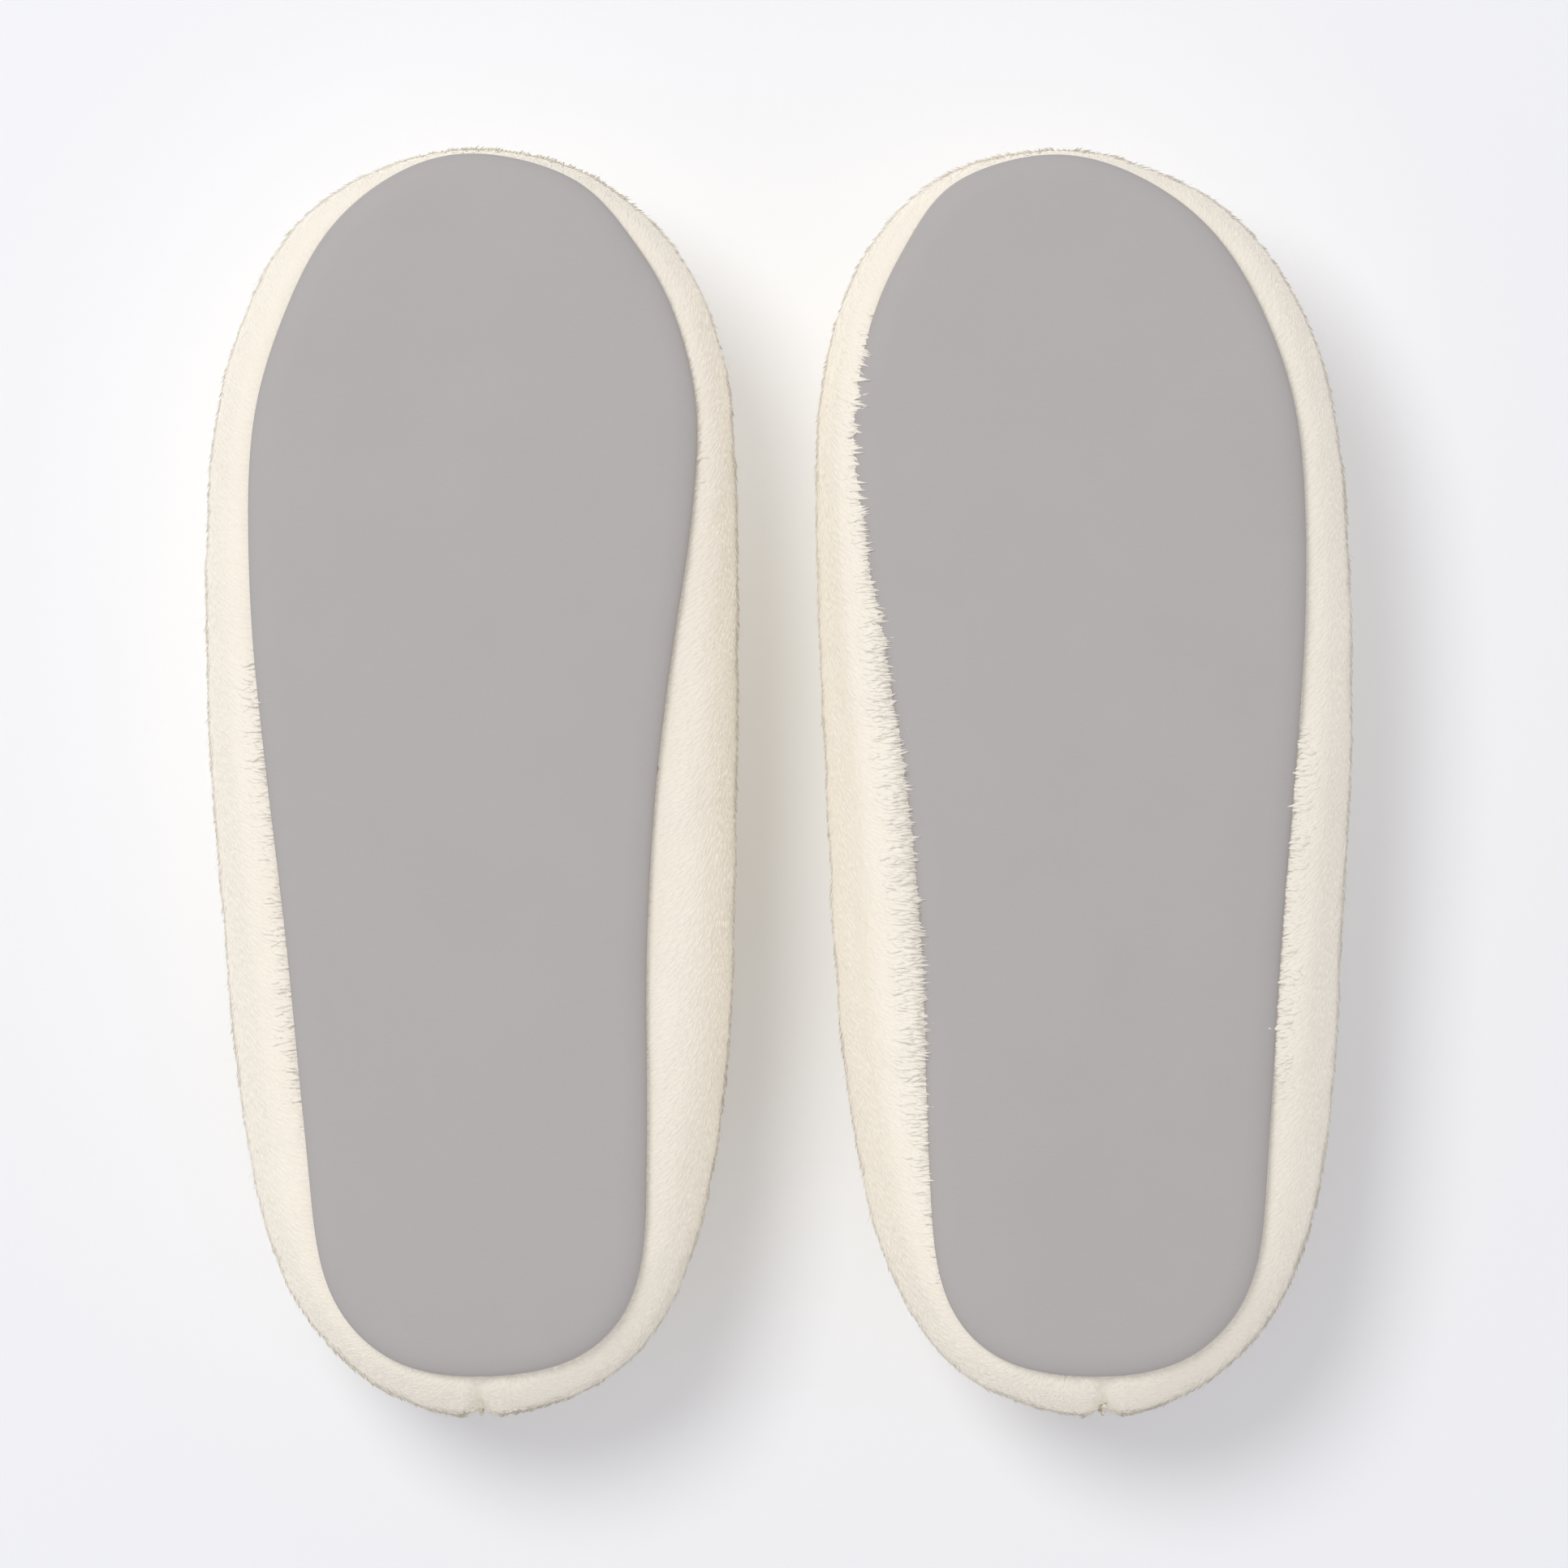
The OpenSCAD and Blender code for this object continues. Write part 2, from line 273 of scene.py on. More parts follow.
def weaveGroup():
    # plain weave: two sets of waves that cross
    tree, given, out = newGroup(
        "plain weave",
        [("Vector", "NodeSocketVector", None), ("Scale", "NodeSocketFloat", 600.0)],
        [("Height", "NodeSocketFloat"), ("Mask", "NodeSocketFloat")])
    waves = []
    for direction in ("X", "Z"):
        wave = newNode(tree, "ShaderNodeTexWave", wave_type="BANDS", bands_direction=direction)
        wave.inputs["Distortion"].default_value = 0.6
        wire(tree, given.outputs["Vector"], wave.inputs["Vector"])
        wire(tree, given.outputs["Scale"], wave.inputs["Scale"])
        waves.append(wave.outputs[1])
    woven = mathNode(tree, "MULTIPLY", waves[0], waves[1])
    wire(tree, woven, out.inputs["Height"])
    wire(tree, mathNode(tree, "MAXIMUM", waves[0], waves[1]), out.inputs["Mask"])
    return tree


toneTree = toneGroup()
fibreTree = fibreGroup()
weaveTree = weaveGroup()


def placeGroup(tree, group, vector, **values):
    node = newNode(tree, "ShaderNodeGroup", node_tree=group)
    wire(tree, vector, node.inputs["Vector"])
    for key, value in values.items():
        node.inputs[key].default_value = value
    return node


def newMaterial(name, roughness, **plain):
    material = bpy.data.materials.new(name)
    material.use_nodes = True
    tree = material.node_tree
    shader = tree.nodes["Principled BSDF"]
    shader.inputs["Roughness"].default_value = roughness
    for key, value in plain.items():
        shader.inputs[key.replace("_", " ")].default_value = value
    place = newNode(tree, "ShaderNodeTexCoord").outputs["Object"]
    return material, tree, shader, place


def addBump(tree, shader, height, distance):
    bump = newNode(tree, "ShaderNodeBump")
    bump.inputs["Distance"].default_value = distance
    wire(tree, height, bump.inputs["Height"])
    wire(tree, bump.outputs[0], shader.inputs["Normal"])


def rgb(red, green, blue):
    return (red, green, blue, 1.0)


plushLook = {
    "light": rgb(0.96, 0.905, 0.79), "dark": rgb(0.935, 0.875, 0.755),
    # root is painted shade: a darker colour at the hairs' roots and in the backing's streaks, where
    # the pile would shade itself
    "root": rgb(0.91, 0.85, 0.725), "clouds": 55.0, "contrast": 2.2, "tipCurve": 0.6,
    "sheen": 0.3, "sheenRoughness": 0.45, "sheenTint": rgb(1.0, 0.97, 0.92),
    "streaks": 650.0, "bump": 0.6 * mm,
}


def plushMaterial(name, look, hasTips):
    material, tree, shader, place = newMaterial(
        name, 0.95, Sheen_Weight=look["sheen"], Sheen_Roughness=look["sheenRoughness"],
        Sheen_Tint=look["sheenTint"], Specular_IOR_Level=0.15)
    tone = placeGroup(tree, toneTree, place, Light=look["light"], Dark=look["dark"],
                      Scale=look["clouds"], Contrast=look["contrast"])
    # painted shade: each hair darkens towards its root
    if hasTips:
        tip = newNode(tree, "ShaderNodeAttribute", attribute_name="tip")
        share = mathNode(tree, "POWER", tip.outputs["Fac"], look["tipCurve"])
    else:
        streaks = placeGroup(tree, fibreTree, place, Scale=look["streaks"])
        share = streaks.outputs["Mask"]
        addBump(tree, shader, streaks.outputs["Height"], look["bump"])
    # the root colour is painted shade, strongest at the hairs' roots and in the backing's streaks
    # between them
    blend = newNode(tree, "ShaderNodeMix", data_type="RGBA")
    wire(tree, share, blend.inputs[0])
    blend.inputs[6].default_value = look["root"]
    wire(tree, tone.outputs["Colour"], blend.inputs[7])
    wire(tree, blend.outputs[2], shader.inputs["Base Color"])
    return material


rubberLook = {
    "light": rgb(0.455, 0.434, 0.418), "dark": rgb(0.435, 0.414, 0.398), "clouds": 40.0,
    "grain": 1500.0, "specks": 0.05, "roughness": 0.6, "rougher": 0.2, "bump": 0.05 * mm,
}


def rubberMaterial(look):
    material, tree, shader, place = newMaterial("sole rubber", 0.7, Specular_IOR_Level=0.3)
    tone = placeGroup(tree, toneTree, place, Light=look["light"], Dark=look["dark"],
                      Scale=look["clouds"], Contrast=1.5)
    grain = placeGroup(tree, fibreTree, place, Scale=look["grain"], Stretch=(0.6, 1.0, 1.0))
    speck = newNode(tree, "ShaderNodeMix", data_type="RGBA", blend_type="MULTIPLY")
    speck.inputs[0].default_value = look["specks"]
    wire(tree, tone.outputs["Colour"], speck.inputs[6])
    wire(tree, grain.outputs["Mask"], speck.inputs[7])
    wire(tree, speck.outputs[2], shader.inputs["Base Color"])
    worn = mathNode(tree, "MULTIPLY", grain.outputs["Mask"], look["rougher"])
    wire(tree, mathNode(tree, "ADD", worn, look["roughness"]), shader.inputs["Roughness"])
    addBump(tree, shader, grain.outputs["Height"], look["bump"])
    return material


def fibrousMaterial(name, look):
    material, tree, shader, place = newMaterial(name, look["roughness"], Specular_IOR_Level=0.2)
    tone = placeGroup(tree, toneTree, place, Light=look["light"], Dark=look["dark"],
                      Scale=120.0, Contrast=2.5)
    streaks = placeGroup(tree, fibreTree, place, Scale=look["streaks"], Stretch=look["stretch"])
    blend = newNode(tree, "ShaderNodeMix", data_type="RGBA", blend_type="MULTIPLY")
    blend.inputs[0].default_value = 0.25
    wire(tree, tone.outputs["Colour"], blend.inputs[6])
    wire(tree, streaks.outputs["Mask"], blend.inputs[7])
    wire(tree, blend.outputs[2], shader.inputs["Base Color"])
    addBump(tree, shader, streaks.outputs["Height"], look["bump"])
    return material


foamLook = {
    "light": rgb(0.83, 0.80, 0.73), "dark": rgb(0.75, 0.70, 0.61), "clouds": 50.0,
    "cells": 900.0, "cellWall": rgb(0.55, 0.50, 0.42), "bump": 0.3 * mm,
}


def foamMaterial(look):
    material, tree, shader, place = newMaterial("open cell foam", 0.95, Specular_IOR_Level=0.15)
    cells = newNode(tree, "ShaderNodeTexVoronoi", feature="F1")
    cells.inputs["Scale"].default_value = look["cells"]
    wire(tree, place, cells.inputs["Vector"])
    tone = placeGroup(tree, toneTree, place, Light=look["light"], Dark=look["dark"],
                      Scale=look["clouds"], Contrast=2.0)
    blend = newNode(tree, "ShaderNodeMix", data_type="RGBA")
    wire(tree, cells.outputs["Distance"], blend.inputs[0])
    wire(tree, tone.outputs["Colour"], blend.inputs[6])
    blend.inputs[7].default_value = look["cellWall"]
    wire(tree, blend.outputs[2], shader.inputs["Base Color"])
    addBump(tree, shader, cells.outputs["Distance"], look["bump"])
    return material


def wovenMaterial(name, look):
    material, tree, shader, place = newMaterial(name, 0.8, Specular_IOR_Level=0.25)
    weave = placeGroup(tree, weaveTree, place, Scale=look["weave"])
    tone = placeGroup(tree, toneTree, place, Light=look["light"], Dark=look["dark"],
                      Scale=90.0, Contrast=2.0)
    blend = newNode(tree, "ShaderNodeMix", data_type="RGBA")
    wire(tree, weave.outputs["Mask"], blend.inputs[0])
    blend.inputs[6].default_value = look["dark"]
    wire(tree, tone.outputs["Colour"], blend.inputs[7])
    wire(tree, blend.outputs[2], shader.inputs["Base Color"])
    addBump(tree, shader, weave.outputs["Height"], look["bump"])
    return material


fleeceLook = {
    "light": rgb(0.86, 0.81, 0.71), "dark": rgb(0.78, 0.72, 0.61), "roughness": 0.9,
    "streaks": 520.0, "stretch": (1.0, 0.6, 1.0), "bump": 0.5 * mm,
}
boardLook = {
    "light": rgb(0.50, 0.41, 0.30), "dark": rgb(0.38, 0.30, 0.21), "roughness": 0.9,
    "streaks": 900.0, "stretch": (1.0, 0.2, 1.0), "bump": 0.1 * mm,
}
threadLook = {
    "light": rgb(0.82, 0.76, 0.65), "dark": rgb(0.68, 0.61, 0.50), "roughness": 0.6,
    "streaks": 2200.0, "stretch": (0.4, 1.0, 1.0), "bump": 0.08 * mm,
}
tapeLook = {
    "light": rgb(0.82, 0.78, 0.70), "dark": rgb(0.62, 0.57, 0.48),
    "weave": 380.0, "bump": 0.15 * mm,
}
elasticLook = {
    "light": rgb(0.90, 0.90, 0.87), "dark": rgb(0.70, 0.69, 0.65),
    "weave": 300.0, "bump": 0.2 * mm,
}

plushTips = plushMaterial("plush pile", plushLook, True)
plushBacking = plushMaterial("plush backing", plushLook, False)
soleRubber = rubberMaterial(rubberLook)
fleece = fibrousMaterial("brushed fleece", fleeceLook)
foam = foamMaterial(foamLook)
fibreBoard = fibrousMaterial("fibre board", boardLook)
thread = fibrousMaterial("twisted thread", threadLook)
tape = wovenMaterial("woven tape", tapeLook)
elastic = wovenMaterial("braided elastic", elasticLook)
print("materials made")


def pickSocket(sockets, name):
    return next(s for s in sockets if s.enabled and s.name == name)


pileSpread = {    # how far single hairs differ: shares of length and width, roll in radians
    "length": (0.7, 1.15), "width": (0.7, 1.25), "roll": (-0.12, 0.12),
    "clumps": 520.0, "levelFrom": 1.4,
}


def growGroup():
    # tapered hairs stand on a soft surface and lie the way its nap goes
    tree, given, out = newGroup(
        "grow pile",
        [("Geometry", "NodeSocketGeometry", None), ("Hair", "NodeSocketObject", None),
         ("Density", "NodeSocketFloat", 1.0), ("Where", "NodeSocketString", "thick"),
         ("Comb", "NodeSocketString", "comb"),
         ("Width", "NodeSocketFloat", 1.0), ("Length", "NodeSocketFloat", 1.0),
         ("Flatness", "NodeSocketFloat", 0.5), ("Softness", "NodeSocketFloat", 0.75),
         ("Mess", "NodeSocketFloat", 0.2), ("Clump", "NodeSocketFloat", 0.3),
         ("Seed", "NodeSocketInt", 1)],
        [("Geometry", "NodeSocketGeometry")], "GeometryNodeTree")

    def named(kind, name):
        node = newNode(tree, "GeometryNodeInputNamedAttribute", data_type=kind)
        if isinstance(name, str):
            node.inputs["Name"].default_value = name
        else:
            wire(tree, name, node.inputs["Name"])
        return pickSocket(node.outputs, "Attribute")

    def randomValue(kind, low, high, seedOffset):
        node = newNode(tree, "FunctionNodeRandomValue", data_type=kind)
        pickSocket(node.inputs, "Min").default_value = low
        pickSocket(node.inputs, "Max").default_value = high
        seed = mathNode(tree, "ADD", given.outputs["Seed"], seedOffset)
        wire(tree, seed, node.inputs["Seed"])
        return pickSocket(node.outputs, "Value")

    def vectorNode(operation, first, second):
        node = newNode(tree, "ShaderNodeVectorMath", operation=operation)
        wire(tree, first, node.inputs[0])
        if operation == "SCALE":
            wire(tree, second, node.inputs["Scale"])
        else:
            wire(tree, second, node.inputs[1])
        return node.outputs[0]

    scatter = newNode(tree, "GeometryNodeDistributePointsOnFaces", distribute_method="RANDOM")
    wire(tree, given.outputs["Geometry"], scatter.inputs["Mesh"])
    wire(tree, given.outputs["Seed"], scatter.inputs["Seed"])
    density = mathNode(tree, "MULTIPLY", named("FLOAT", given.outputs["Where"]),
                       given.outputs["Density"])
    wire(tree, density, pickSocket(scatter.inputs, "Density"))

    place = newNode(tree, "GeometryNodeInputPosition").outputs[0]
    clumps = newNode(tree, "ShaderNodeTexNoise")
    clumps.inputs["Scale"].default_value = pileSpread["clumps"]
    clumps.inputs["Detail"].default_value = 1.0
    wire(tree, place, clumps.inputs["Vector"])
    centre = newNode(tree, "ShaderNodeVectorMath", operation="SUBTRACT")
    wire(tree, clumps.outputs["Color"], centre.inputs[0])
    centre.inputs[1].default_value = (0.5, 0.5, 0.5)
    sway = vectorNode("SCALE", centre.outputs[0], given.outputs["Clump"])
    jitter = vectorNode("SCALE", randomValue("FLOAT_VECTOR", (-1, -1, -1), (1, 1, 1), 11),
                        given.outputs["Mess"])
    nap = named("FLOAT_VECTOR", given.outputs["Comb"])
    lie = vectorNode("ADD", nap, vectorNode("ADD", sway, jitter))
    aligned = newNode(tree, "FunctionNodeAlignRotationToVector", axis="Z")
    wire(tree, lie, aligned.inputs["Vector"])
    upright = newNode(tree, "FunctionNodeAlignRotationToVector", axis="Y", pivot_axis="Z")
    wire(tree, aligned.outputs[0], upright.inputs["Rotation"])
    wire(tree, scatter.outputs["Normal"], upright.inputs["Vector"])
    roll = newNode(tree, "FunctionNodeAxisAngleToRotation")
    roll.inputs["Axis"].default_value = (0, 0, 1)
    wire(tree, randomValue("FLOAT", *pileSpread["roll"], 23), roll.inputs["Angle"])
    turned = newNode(tree, "FunctionNodeRotateRotation", rotation_space="LOCAL")
    wire(tree, upright.outputs[0], turned.inputs["Rotation"])
    wire(tree, roll.outputs[0], turned.inputs["Rotate By"])

    length = mathNode(tree, "MULTIPLY", given.outputs["Length"], named("FLOAT", "long"))
    length = mathNode(tree, "MULTIPLY", length, randomValue("FLOAT", *pileSpread["length"], 37))
    size = newNode(tree, "ShaderNodeCombineXYZ")
    wide = mathNode(tree, "MULTIPLY", given.outputs["Width"],
                    randomValue("FLOAT", *pileSpread["width"], 51))
    wire(tree, wide, size.inputs["X"])
    wire(tree, mathNode(tree, "MULTIPLY", wide, given.outputs["Flatness"]), size.inputs["Y"])
    wire(tree, length, size.inputs["Z"])

    # each hair is shaded partly as the surface under it, which is what makes a pile look soft
    keep = newNode(tree, "GeometryNodeStoreNamedAttribute", data_type="FLOAT_VECTOR")
    keep.inputs["Name"].default_value = "under"
    wire(tree, scatter.outputs["Points"], keep.inputs["Geometry"])
    wire(tree, scatter.outputs["Normal"], pickSocket(keep.inputs, "Value"))

    hair = newNode(tree, "GeometryNodeObjectInfo")
    wire(tree, given.outputs["Hair"], hair.inputs["Object"])
    plant = newNode(tree, "GeometryNodeInstanceOnPoints")
    wire(tree, keep.outputs[0], plant.inputs["Points"])
    wire(tree, hair.outputs["Geometry"], plant.inputs["Instance"])
    wire(tree, turned.outputs[0], plant.inputs["Rotation"])
    wire(tree, size.outputs[0], plant.inputs["Scale"])
    real = newNode(tree, "GeometryNodeRealizeInstances")
    wire(tree, plant.outputs[0], real.inputs[0])
    own = newNode(tree, "GeometryNodeInputNormal").outputs[0]
    under = named("FLOAT_VECTOR", "under")
    parts = newNode(tree, "ShaderNodeSeparateXYZ")
    wire(tree, under, parts.inputs[0])
    # on upright sides the hairs keep their own shading, or their far edges go dark
    level = mathNode(tree, "MULTIPLY", mathNode(tree, "ABSOLUTE", parts.outputs["Z"], 0.0),
                     pileSpread["levelFrom"])
    level.node.use_clamp = True
    blend = newNode(tree, "ShaderNodeMix", data_type="VECTOR")
    wire(tree, mathNode(tree, "MULTIPLY", level, given.outputs["Softness"]), blend.inputs[0])
    wire(tree, own, blend.inputs[4])
    wire(tree, under, blend.inputs[5])
    bend = newNode(tree, "GeometryNodeSetMeshNormal", mode="FREE", domain="POINT")
    wire(tree, real.outputs[0], bend.inputs["Mesh"])
    wire(tree, blend.outputs[1], bend.inputs["Custom Normal"])
    wire(tree, bend.outputs[0], out.inputs["Geometry"])
    return tree


growTree = growGroup()


def hairShape(name, belly):
    # a unit hair or tuft with three sides: pointed at its root and tip, widest at the belly
    bm = bmesh.new()
    bmesh.ops.create_cone(bm, cap_ends=False, cap_tris=False, segments=3,
                          radius1=1.0, radius2=0.0, depth=1.0 - belly,
                          matrix=Matrix.Translation((0, 0, (1.0 + belly) / 2)))
    rim = [edge for edge in bm.edges if edge.is_boundary]
    made = bmesh.ops.extrude_edge_only(bm, edges=rim)["geom"]
    low = [part for part in made if isinstance(part, bmesh.types.BMVert)]
    for vertex in low:
        vertex.co = (0, 0, 0)
    bmesh.ops.remove_doubles(bm, verts=low, dist=weldGap)
    bmesh.ops.recalc_face_normals(bm, faces=bm.faces[:])
    for face in bm.faces:
        face.smooth = True
    mesh = bpy.data.meshes.new(name)
    bm.to_mesh(mesh)
    bm.free()
    tip = mesh.attributes.new("tip", "FLOAT", "POINT")
    for i, vertex in enumerate(mesh.vertices):
        tip.data[i].value = vertex.co.z
    return linkPiece(mesh, name)


tuftPattern = hairShape("tuftPattern", 0.35)
hairPattern = hairShape("hairPattern", 0.1)

groundNotes = [    # what only the growing needs
    "comb", "combEdge", "long", "thick", "thickFront", "thickBack", "thickEdge", "under",
]


def growPile(ground, name, look, where, seed, combName="comb"):
    # grows on a copy of the ground and keeps only the hairs
    pile = linkPiece(ground.data.copy(), name)
    step = pile.modifiers.new("grow", "NODES")
    step.node_group = growTree
    values = {
        "Hair": look["pattern"], "Density": look["perSquareMm"] / squareMm, "Where": where,
        "Comb": combName, "Width": look["width"], "Flatness": look["flatness"],
        "Length": look["length"], "Softness": look["softness"], "Mess": look["mess"],
        "Clump": look["clump"], "Seed": seed,
    }
    for item in growTree.interface.items_tree:
        if item.in_out == "INPUT" and item.name in values:
            step[item.identifier] = values[item.name]
    applyModifiers(pile)
    for spare in groundNotes:
        if spare in pile.data.attributes:
            pile.data.attributes.remove(pile.data.attributes[spare])
    pile.data.materials.clear()
    # light sinks into real pile, so the hairs don't darken each other
    pile.visible_diffuse = False
    pile.visible_shadow = False
    return pile


spineLook = {    # a line inside the slipper: how far its ends are from toe and heel, and how high
    "toeIn": 52 * mm, "toeUp": 26 * mm, "heelIn": 46 * mm, "heelUp": 28 * mm,
}


def sideFacts(side):
    low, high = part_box(side + "_upper_plush")
    seamLow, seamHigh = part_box(side + "_heel_stitches")
    seamX = (seamLow.x + seamHigh.x) / 2
    middleX = (low.x + high.x) / 2
    look = spineLook
    return {
        "inner": 1.0 if side == "right" else -1.0,      # sign of X towards the other slipper
        "seamX": seamX, "middleX": middleX,
        "toeEnd": Vector((middleX, low.y + look["toeIn"], look["toeUp"])),
        "heelEnd": Vector((seamX, high.y - look["heelIn"], look["heelUp"])),
    }


def fromSpine(facts, place):
    # the way out from the line along the slipper's inside
    along = facts["heelEnd"] - facts["toeEnd"]
    share = (place - facts["toeEnd"]).dot(along) / along.length_squared
    spot = facts["toeEnd"] + along * min(max(share, 0.0), 1.0)
    return (place - spot).normalized()


overhang = {    # where the pile hangs over the sole's edge: which side, from y to y in mm, how much
    "left": [("inner", -95, 60, 1.0), ("inner", 40, 105, 0.55), ("outer", -10, 60, 0.6)],
    "right": [("outer", -25, 70, 0.35), ("inner", -100, -60, 0.2)],
}
overhangFade = 8    # in mm too, how softly each stretch starts and ends


def overhangAt(side, facts, place):
    isInner = (place.x - facts["middleX"]) * facts["inner"] > 0
    fade = overhangFade
    total = 0.0
    for where, start, end, share in overhang[side]:
        if (where == "inner") == isInner:
            y = place.y / mm
            begun = ease(start - fade, start + fade, y)
            over = ease(end - fade, end + fade, y)
            total = max(total, share * begun * (1 - over))
    return total


plushShape = {    # pairs are where a feature starts and where it is full
    "pressure": 3.0, "cap": 0.9 * mm, "heldBelow": 7 * mm,
    "outer": (0.05, 0.45), "grown": (0.02, 0.25), "pileHeight": 0.6 * mm, "lump": 0.6 * mm,
    "lift": 0.14, "lip": (11 * mm, 5 * mm), "down": 0.55, "swirl": 0.5,
    "sag": 2.7 * mm, "sagFoot": (4.0 * mm, 5.2 * mm), "sagTop": (12 * mm, 7 * mm),
    "edgeRoots": (7 * mm, 5.8 * mm), "edgeDown": 0.42, "edgeSwirl": 0.6,
    "heel": (90 * mm, 110 * mm), "parting": (5 * mm, 1 * mm), "parted": 0.6,
    "groove": 0.5 * mm, "grooveSides": (1.6 * mm, 0.2 * mm),
}
plushTufts = {
    "pattern": tuftPattern, "perSquareMm": 1.3, "width": 0.42 * mm, "flatness": 0.17,
    "length": 3.0 * mm, "mess": 0.09, "clump": 0.35, "softness": 0.65,
}
plushFuzz = {
    "pattern": hairPattern, "perSquareMm": 0.2, "width": 0.07 * mm, "flatness": 1.0,
    "length": 2.6 * mm, "mess": 0.45, "clump": 0.4, "softness": 0.5,
}
edgeTufts = {    # hang over the sole's rolled edge
    "pattern": tuftPattern, "perSquareMm": 2.6, "width": 0.5 * mm, "flatness": 0.2,
    "length": 4.3 * mm, "mess": 0.2, "clump": 1.0, "softness": 0.5,
}


def plushNap(normal, away, lip, nearSeam, seamGap, swirl, look):
    # the pile lies towards the heel and downwards, and parts at the heel seam
    outwards = Vector((away.x, away.y, 0))
    downwards = -outwards * (0.25 + 0.55 * lip) - Vector((0, 0, look["down"]))
    apart = Vector((math.copysign(1.0, seamGap), 0, 0)) * nearSeam * look["parted"]
    heelwards = Vector((0, 0.75 * (1 - lip * 0.5) * (1 - nearSeam), 0))
    return layFlat(heelwards + downwards + swirl + apart, normal, look["lift"])


def edgeNap(away, swirl, look):
    # the edge tufts lie in over the sole
    outwards = Vector((away.x, away.y, 0)).normalized()
    return (swirl * look["edgeSwirl"] - outwards - Vector((0, 0, look["edgeDown"]))).normalized()


def dressUpper(mesh, side, facts, look):
    # draws the outer face in by the pile's height and notes how the pile lies
    normals = [vertex.normal.copy() for vertex in mesh.vertices]
    notes = {"comb": [], "combEdge": [], "long": [],
             "thickFront": [], "thickBack": [], "thickEdge": []}
    for vertex, normal in zip(mesh.vertices, normals):
        place = vertex.co.copy()
        away = fromSpine(facts, place)
        outer = ease(*look["outer"], normal.dot(away))
        grown = ease(*look["grown"], normal.dot(away))
        lip = ease(*look["lip"], place.z) * outer
        seamGap = place.x - facts["seamX"]
        atHeel = ease(*look["heel"], place.y)
        nearSeam = ease(*look["parting"], abs(seamGap)) * atHeel
        dip = ease(*look["grooveSides"], abs(seamGap)) * atHeel * outer
        hang = overhangAt(side, facts, place)
        sag = hang * outer * ease(*look["sagFoot"], place.z) * ease(*look["sagTop"], place.z)
        lump = noise.noise(place * 90) * 0.5 + noise.noise(place * 230) * 0.35
        vertex.co = place + normal * (outer * (lump * look["lump"] - look["pileHeight"]))
        vertex.co.z -= sag * look["sag"]
        vertex.co -= normal * (dip * look["groove"])
        across = noise.noise(place * 30)
        upwards = noise.noise(place * 30 + Vector((5, 5, 5)))
        swirl = Vector((across, 0, upwards)) * look["swirl"]
        notes["comb"].append(plushNap(normal, away, lip, nearSeam, seamGap, swirl, look))
        notes["combEdge"].append(edgeNap(away, swirl, look))
        notes["long"].append(1 + 0.2 * nearSeam + 0.25 * noise.noise(place * 120))
        notes["thickFront"].append(grown if place.y < 0 else 0.0)
        notes["thickBack"].append(0.0 if place.y < 0 else grown)
        notes["thickEdge"].append(hang * outer * ease(*look["edgeRoots"], place.z))
    notePoints(mesh, notes)


def makeUpper(side, facts):
    look = plushShape
    shell = quadCopy(side + "_upper_plush", side + "_plush_shell")
    subdivide(shell, 2)
    puff(shell, look["pressure"], look["cap"], lambda place: place.z < look["heldBelow"])
    subdivide(shell)
    dressUpper(shell.data, side, facts, look)
    finishPiece(shell, side, [plushBacking])
    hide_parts(side + "_upper_plush")
    for part, where, seed in (("toe", "thickFront", 3), ("heel", "thickBack", 8)):
        fuzz = growPile(shell, f"{side}_fuzz_{part}", plushFuzz, where, seed + 40)
        finishPiece(fuzz, side, [plushTips])
        pile = growPile(shell, f"{side}_pile_{part}", plushTufts, where, seed)
        finishPiece(pile, side, [plushTips])
        print(side, "pile", part, len(pile.data.polygons), "faces")
    tufts = growPile(shell, side + "_edge_tufts", edgeTufts, "thickEdge", 27, "combEdge")
    finishPiece(tufts, side, [plushTips])
    tufts.visible_shadow = True
    print(side, "upper", len(shell.data.polygons), "edge tufts", len(tufts.data.polygons), "faces")


collarShape = {
    "pressure": 4.0, "cap": 0.8 * mm, "pileHeight": 0.8 * mm, "lump": 0.5 * mm, "lift": 0.4,
}
collarTufts = {
    "pattern": tuftPattern, "perSquareMm": 1.4, "width": 0.46 * mm, "flatness": 0.5,
    "length": 2.9 * mm, "mess": 0.14, "clump": 0.5, "softness": 0.85,
}


def makeCollar(side):
    look = collarShape
    roll = quadCopy(side + "_collar", side + "_collar_roll")
    subdivide(roll)
    puff(roll, look["pressure"], look["cap"], lambda place: False)
    subdivide(roll)
    low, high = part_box(side + "_collar")
    centre = (low + high) / 2
    mesh = roll.data
    normals = [vertex.normal.copy() for vertex in mesh.vertices]
    notes = {"comb": [], "long": [], "thick": []}
    for vertex, normal in zip(mesh.vertices, normals):
        place = vertex.co.copy()
        lump = noise.noise(place * 110) * 0.6 + noise.noise(place * 260) * 0.3
        vertex.co = place + normal * (lump * look["lump"] - look["pileHeight"])
        around = Vector((-(place.y - centre.y), place.x - centre.x, 0)).normalized()
        nap = around * (0.5 + noise.noise(place * 60)) + Vector((0, 0, -0.4))
        notes["comb"].append(layFlat(nap, normal, look["lift"]))
        notes["long"].append(1 + 0.3 * noise.noise(place * 150))
        notes["thick"].append(1.0)
    notePoints(mesh, notes)
    finishPiece(roll, side, [plushBacking])
    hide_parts(side + "_collar")
    pile = growPile(roll, side + "_pile_collar", collarTufts, "thick", 14)
    finishPiece(pile, side, [plushTips])
    print(side, "collar", len(mesh.polygons), "pile", len(pile.data.polygons), "faces")


liningShape = {"voxel": 1.6 * mm, "lump": 0.35 * mm, "inner": (0.1, 0.5)}


